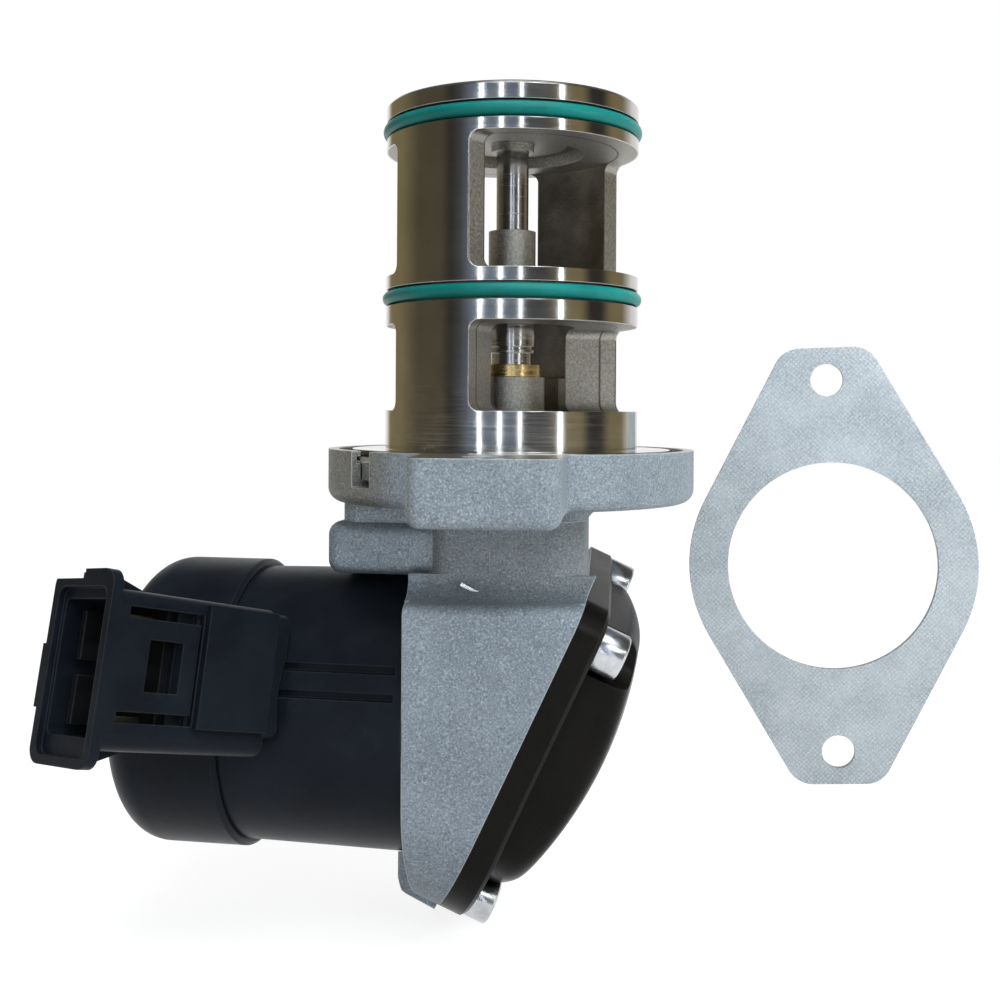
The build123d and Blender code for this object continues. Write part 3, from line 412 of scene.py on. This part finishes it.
finish = {
    "cast_aluminium": castAluminium(),
    "stainless": cageSteel(),
    "green_rubber": rubber("greenRubber", (0.0015, 0.185, 0.165), (0.003, 0.235, 0.205), 0.36),
    "black_rubber": rubber("blackRubber", (0.012, 0.012, 0.012), (0.03, 0.03, 0.03), 0.6),
    "ground_steel": turnedMetal("groundSteel", (0.56, 0.55, 0.54), 0.2),
    "zinc_steel": plainMetal("zincSteel", (0.66, 0.67, 0.69), 0.2),
    "brass": turnedMetal("brass", (0.72, 0.52, 0.24), 0.25),
    # Painted sheen: the black plastic is tinted blue, standing in for the bluish sheen it catches from the
    # front
    "black_plastic": mouldedPlastic("blackPlasticBlueSheen", (0.0075, 0.010, 0.0145), (0.014, 0.018, 0.026),
                                    0.36, 0.08),
    # Painted shade: the grey inserts are painted nearly black, for the shade inside the connector socket
    "grey_plastic": mouldedPlastic("greyPlasticShaded", (0.006, 0.006, 0.007), (0.011, 0.011, 0.012), 0.45, 0.15),
    # Painted shade: the tinned blades are painted dark, for the shade inside the connector socket
    "tinned_blade": plainMetal("tinnedBladeShaded", (0.22, 0.21, 0.185), 0.4),
    "lamination": coreSheets(),
    "copper": plainMetal("copper", (0.72, 0.33, 0.16), 0.32, 0.15, 0.5),
    "magnet": rubber("magnet", (0.05, 0.05, 0.055), (0.09, 0.09, 0.09), 0.6),
    "carbon": rubber("carbon", (0.02, 0.02, 0.02), (0.05, 0.05, 0.05), 0.55),
    "gear_steel": plainMetal("gearSteel", (0.40, 0.40, 0.41), 0.34, 0.1),
    "gasket_sheet": gasketSheet(),
}
coverPlastic = mouldedPlastic("coverPlastic", (0.0045, 0.0040, 0.0032), (0.009, 0.0078, 0.0056), 0.30, 0.10)

for row in frame["record"]["subparts"]:
    piece = nodes[row["node"]]
    piece.data.materials.clear()
    piece.data.materials.append(finish[row["material_slot"]])
nodes["gear_cover"].data.materials[0] = coverPlastic
print("finishes set on", len(nodes), "nodes")


# Small helpers for modelling

def deselect():
    if bpy.context.object and bpy.context.object.mode != "OBJECT":
        bpy.ops.object.mode_set(mode="OBJECT")
    bpy.ops.object.select_all(action="DESELECT")


def choose(*pieces):
    deselect()
    for piece in pieces:
        piece.select_set(True)
    bpy.context.view_layer.objects.active = pieces[0]


def pickFaces(piece, test):
    bpy.ops.object.mode_set(mode="EDIT")
    bpy.ops.mesh.select_mode(type="FACE")
    bpy.ops.mesh.select_all(action="DESELECT")
    bpy.ops.object.mode_set(mode="OBJECT")
    for face in piece.data.polygons:
        face.select = test(face)
    bpy.ops.object.mode_set(mode="EDIT")


def addModifier(piece, kind, **values):
    bpy.context.view_layer.objects.active = piece
    modifier = piece.modifiers.new(kind.lower(), kind)
    for name, value in values.items():
        setattr(modifier, name, value)
    bpy.ops.object.modifier_apply(modifier=modifier.name)


# Cover screws: M6 socket heads on the leaning cover, lengths in mm and angles in degrees
screws = {
    "seat": (1.4, 0, -62.0), "lean": 25.0, "yaw": 4.1, "height": 5.8,
    "spots": ((-22.0, -26.9), (22.0, -36.6), (-4.5, 36.2)), "turnEach": 37,
    "headRadius": 4.9, "headTall": 6.0, "headSides": 72, "rim": 0.45, "socketFlats": 5.0, "socketDeep": 3.0,
    "shankRadius": 2.95, "shankLong": 12.6, "tipInset": 0.6, "tipLong": 0.5,
    "bevel": 0.12, "sharpFrom": 35,
}


def screwHead():
    deselect()
    tall = screws["headTall"] - screws["rim"]
    bpy.ops.mesh.primitive_cylinder_add(vertices=screws["headSides"], radius=screws["headRadius"] * mm,
                                        depth=tall * mm, location=(0, 0, tall / 2 * mm))
    head = bpy.context.object
    bpy.ops.object.transform_apply(location=True, rotation=True, scale=True)
    pickFaces(head, lambda face: face.normal.z > 0.9)
    bpy.ops.mesh.inset(thickness=screws["rim"] * mm)
    bpy.ops.transform.translate(value=(0, 0, screws["rim"] * mm))
    pickFaces(head, lambda face: face.normal.z < -0.9)
    bpy.ops.mesh.inset(thickness=(screws["headRadius"] - screws["shankRadius"]) * mm)
    bpy.ops.mesh.extrude_region_move(TRANSFORM_OT_translate={"value": (0, 0, -screws["shankLong"] * mm)})
    bpy.ops.mesh.inset(thickness=screws["tipInset"] * mm)
    bpy.ops.transform.translate(value=(0, 0, -screws["tipLong"] * mm))
    deselect()
    corner = screws["socketFlats"] / 2 / math.cos(math.pi / 6)  # a hexagon's corner, from its flats
    bpy.ops.mesh.primitive_cylinder_add(vertices=6, radius=corner * mm, depth=2 * screws["socketDeep"] * mm,
                                        location=(0, 0, screws["headTall"] * mm))
    hexagon = bpy.context.object
    addModifier(head, "BOOLEAN", object=hexagon, operation="DIFFERENCE", solver="EXACT")
    bpy.data.objects.remove(hexagon)
    return head


firstHead = screwHead()
seatPlace = Matrix.Rotation(math.radians(screws["yaw"]), 4, "Z")
seatPlace = seatPlace @ Matrix.Translation(Vector(screws["seat"]) * mm)
seatPlace = seatPlace @ Matrix.Rotation(math.radians(90 + screws["lean"]), 4, "Y")
heads = []
for across, down in screws["spots"]:
    choose(firstHead)
    bpy.ops.object.duplicate()
    head = bpy.context.object
    turn = Matrix.Rotation(math.radians(screws["turnEach"] * len(heads)), 4, "Z")
    head.matrix_world = seatPlace @ Matrix.Translation(Vector((down, across, screws["height"])) * mm) @ turn
    bpy.ops.object.transform_apply(location=True, rotation=True, scale=True)
    heads.append(head)
deselect()
bpy.data.objects.remove(firstHead)
choose(*heads)
bpy.ops.object.join()
socketScrews = bpy.context.object
socketScrews.name = "socketScrews"
sharp = math.radians(screws["sharpFrom"])
addModifier(socketScrews, "BEVEL", width=screws["bevel"] * mm, segments=2, limit_method="ANGLE",
            angle_limit=sharp)
bpy.ops.object.shade_smooth_by_angle(angle=sharp)
socketScrews.data.materials.append(finish["zinc_steel"])
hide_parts("cover_screws")
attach(socketScrews, "valve_body")
print("cover screws made")

# Return spring: a copy of the coil with its doubled points welded, shaded smooth and fixed to the valve
# body
spring = {"lift": 6.0, "weld": 0.002, "sharpFrom": 50}
coil = bpy.data.objects.new("springCoil", nodes["return_spring"].data.copy())
bpy.context.scene.collection.objects.link(coil)
choose(coil)
bpy.ops.object.mode_set(mode="EDIT")
bpy.ops.mesh.select_all(action="SELECT")
bpy.ops.mesh.remove_doubles(threshold=spring["weld"] * mm)
bpy.ops.object.mode_set(mode="OBJECT")
bpy.ops.object.shade_smooth_by_angle(angle=math.radians(spring["sharpFrom"]))
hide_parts("return_spring")
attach(coil, "valve_body")
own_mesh(coil)

# Marks that the mould leaves on the casting: the seam down the neck and the torn gate below it. The gate's
# pale, bright metal also stands in for a glint on the neck's fillet, a painted highlight
marks = {"seamX": -2.9, "seamTop": -13.5, "seamLow": -26.0, "seamWide": 0.35, "seamProud": 0.16,
         "seamBevel": 0.1, "gate": (-6.9, -28.8), "gateSize": (4.4, 0.9, 1.1), "gateTurn": (0, 27, 0),
         "gateBevel": 0.2, "gateGlintColour": (0.80, 0.82, 0.85), "gateRough": 0.22, "sharpFrom": 40}


def frontOf(node, x, z):  # how far back a ray from well in front meets the node
    spot = nodes[node].ray_cast((x * mm, -0.2, z * mm), (0, 1, 0))[1]
    return spot.y / mm


def smallPiece(name, place, size, turn, slot, bevel):
    deselect()
    bpy.ops.mesh.primitive_cube_add(size=1, location=[v * mm for v in place])
    piece = bpy.context.object
    piece.name = name
    piece.scale = [v * mm for v in size]
    piece.rotation_euler = [math.radians(v) for v in turn]
    bpy.ops.object.transform_apply(location=True, rotation=True, scale=True)
    addModifier(piece, "BEVEL", width=bevel * mm, segments=3)
    bpy.ops.object.shade_smooth_by_angle(angle=math.radians(marks["sharpFrom"]))
    piece.data.materials.append(finish[slot])
    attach(piece, "valve_body")
    return piece


seamMiddle = (marks["seamTop"] + marks["seamLow"]) / 2
seamFront = frontOf("housing", marks["seamX"], seamMiddle)
seamSize = (marks["seamWide"], marks["seamProud"] * 2, marks["seamTop"] - marks["seamLow"])
smallPiece("castingSeam", (marks["seamX"], seamFront, seamMiddle), seamSize, (0, 0, 0),
           "cast_aluminium", marks["seamBevel"])
gateX, gateZ = marks["gate"]
gateFront = frontOf("housing", gateX, gateZ)
gateGlintMark = smallPiece("gateGlintMark", (gateX, gateFront, gateZ), marks["gateSize"], marks["gateTurn"],
                      "cast_aluminium", marks["gateBevel"])
# Painted highlight: the gate's pale metal stands in for a glint
gateGlintMark.data.materials[0] = plainMetal("tornMetalGlint", marks["gateGlintColour"], marks["gateRough"], 0.1)
print("casting marks made at", round(seamFront, 2), round(gateFront, 2))

# Floor: pale paper that looks white and keeps the object's shadow, lengths in metres
studio = {"floorSize": 6.0, "floorGap": 0.0002, "floorColour": (0.30, 0.30, 0.30), "floorRough": 0.9,
          "floorGlow": 0.84}
floorZ = cadBox[0].z - studio["floorGap"]
deselect()
bpy.ops.mesh.primitive_plane_add(size=studio["floorSize"], location=(0, 0, floorZ))
floor = bpy.context.object
floor.name = "floor"
floorMat, tree, shader = startMaterial("floorPaper", studio["floorColour"], studio["floorRough"])[:3]
shader.inputs["Specular IOR Level"].default_value = 0.0
strength = ramp(tree, rayIsShown(tree), 0, 1, 0, studio["floorGlow"])
tree.links.new(strength, shader.inputs["Emission Strength"])
shader.inputs["Emission Color"].default_value = (1, 1, 1, 1)
floor.data.materials.append(floorMat)

# The room that polished metal shows: tones by direction round the stem, in degrees from the front
tan = (0.27, 0.225, 0.12)
brown = (0.11, 0.095, 0.06)
dark = (0.045, 0.042, 0.038)
grey = (0.085, 0.09, 0.095)
blue = (0.19, 0.235, 0.31)
paper = (1.0, 1.0, 1.0)
room = {
    "front": 5.4, "radius": 1.6, "ceiling": (0.10, 0.10, 0.095), "ceilingFrom": 0.35, "ceilingFull": 0.6,
    "tones": ((-180, paper), (-155, paper), (-142, tan), (-118, tan), (-92, brown), (-66, brown),
              (-56, dark), (-46, grey), (-38, blue), (-19, blue), (-2, blue), (14, grey), (26, grey),
              (52, tan), (63, tan), (73, dark), (86, dark), (98, tan), (116, tan), (136, paper),
              (180, paper)),
}
deselect()
bpy.ops.mesh.primitive_uv_sphere_add(segments=96, ring_count=48, radius=room["radius"], location=(0, 0, 0))
shell = bpy.context.object
shell.name = "roomShell"
shell.visible_camera = False
shell.visible_diffuse = False
shell.visible_shadow = False
roomMat = bpy.data.materials.new("roomTones")
roomMat.use_nodes = True
tree = roomMat.node_tree
tree.nodes.clear()
place = tree.nodes.new("ShaderNodeTexCoord")
x, y, z = parts(tree, place.outputs["Object"])[:3]
turn = math.radians(room["front"])
side = combine(tree, "ADD", combine(tree, "MULTIPLY", x, math.cos(turn)),
               combine(tree, "MULTIPLY", y, math.sin(turn)))
toward = combine(tree, "SUBTRACT", combine(tree, "MULTIPLY", x, math.sin(turn)),
                 combine(tree, "MULTIPLY", y, math.cos(turn)))
angle = combine(tree, "ARCTAN2", side, toward)
tones = tree.nodes.new("ShaderNodeValToRGB")
stops = tones.color_ramp.elements
while len(stops) > 1:
    stops.remove(stops[-1])
for i, (degrees, tone) in enumerate(room["tones"]):
    spot = (degrees + 180) / 360
    stop = stops[0] if i == 0 else stops.new(spot)
    stop.position = spot
    stop.color = (*tone, 1)
tree.links.new(ramp(tree, angle, -math.pi, math.pi), tones.inputs["Fac"])
high = ramp(tree, z, room["ceilingFrom"] * room["radius"], room["ceilingFull"] * room["radius"])
glow = tree.nodes.new("ShaderNodeEmission")
tree.links.new(mixed(tree, high, tones.outputs["Color"], room["ceiling"]), glow.inputs["Color"])
surface = tree.nodes.new("ShaderNodeOutputMaterial")
tree.links.new(glow.outputs[0], surface.inputs["Surface"])
shell.data.materials.append(roomMat)
print("floor and room made")

# World: white where it shows and behind the object, dimmer in front, warm on the left and cool on the right
sky = {"left": (0.20, 0.17, 0.13), "right": (0.40, 0.43, 0.46), "across": (-0.9, 0.5), "behind": (0.1, 0.6)}
world = bpy.data.worlds.new("room")
bpy.context.scene.world = world
world.use_nodes = True
tree = world.node_tree
back = tree.nodes["Background"]
coords = tree.nodes.new("ShaderNodeTexCoord")
way = parts(tree, coords.outputs["Generated"])
sideTone = mixed(tree, ramp(tree, way[0], *sky["across"]), sky["left"], sky["right"])
white = combine(tree, "MAXIMUM", ramp(tree, way[1], *sky["behind"]), rayIsShown(tree))
tree.links.new(mixed(tree, white, sideTone, paper), back.inputs["Color"])
back.inputs["Strength"].default_value = 1.0

# Lamps, in metres and watts. The small one beside the gasket brightens its upper right
lamps = {
    "topBox": {"at": (0.08, -0.26, 0.56), "aim": (0, 0, 0), "size": (0.5, 0.4), "power": 2.1,
               "colour": (0.92, 0.97, 1.0)},
    "sideBox": {"at": (0.50, -0.95, 0.62), "aim": (0.083, 0.077, -0.03), "size": (0.3, 0.3), "power": 2.2,
                "colour": (0.93, 0.97, 1.0)},
    "gasketBox": {"at": (0.20, -0.06, 0.07), "aim": (0.09, 0.077, -0.01), "size": (0.08, 0.08),
                  "power": 0.30, "colour": (0.92, 0.97, 1.0), "mirrored": False},
}
strips = {"distance": 1.25, "height": 0.15, "tall": 1.3, "colour": (0.86, 0.94, 1.0),
          "each": ((-28, 0.075, 1.9), (-10.5, 0.06, 1.3), (7, 0.05, 1.05), (43, 0.075, 2.0))}


def softBox(name, at, aim, size, power, colour, mirrored=True):
    bpy.ops.object.light_add(type="AREA", location=at)
    lamp = bpy.context.object
    lamp.name = name
    lamp.data.shape = "RECTANGLE"
    lamp.data.size, lamp.data.size_y = size
    lamp.data.energy = power
    lamp.data.color = colour
    lamp.visible_glossy = mirrored  # whether polished pieces show the lamp
    lamp.rotation_euler = (Vector(aim) - Vector(at)).to_track_quat("-Z", "Y").to_euler()


for name, values in lamps.items():
    softBox(name, **values)
for i, (degrees, wide, power) in enumerate(strips["each"]):
    bearing = math.radians(degrees + room["front"])
    away = strips["distance"]
    spot = (math.sin(bearing) * away, -math.cos(bearing) * away, strips["height"])
    softBox("strip%d" % i, spot, (0, 0, strips["height"]), (wide, strips["tall"]), power, strips["colour"])

# Camera, fitted to the photograph: its place in mm, its heading in degrees
view = {"place": (24.33, -283.97, 8.6), "level": 90, "heading": 5.4, "roll": -0.006, "lens": 45.9,
        "sensor": 36, "shift": -0.09, "nearest": 0.01}
bpy.ops.object.camera_add(location=[v * mm for v in view["place"]])
camera = bpy.context.object
camera.rotation_mode = "XYZ"
camera.rotation_euler = (math.radians(view["level"]), view["roll"], math.radians(view["heading"]))
camera.data.lens = view["lens"]
camera.data.sensor_width = view["sensor"]
camera.data.shift_y = view["shift"]
camera.data.clip_start = view["nearest"]
bpy.context.scene.camera = camera
bpy.context.scene.view_settings.view_transform = "Standard"
print("camera and light set")
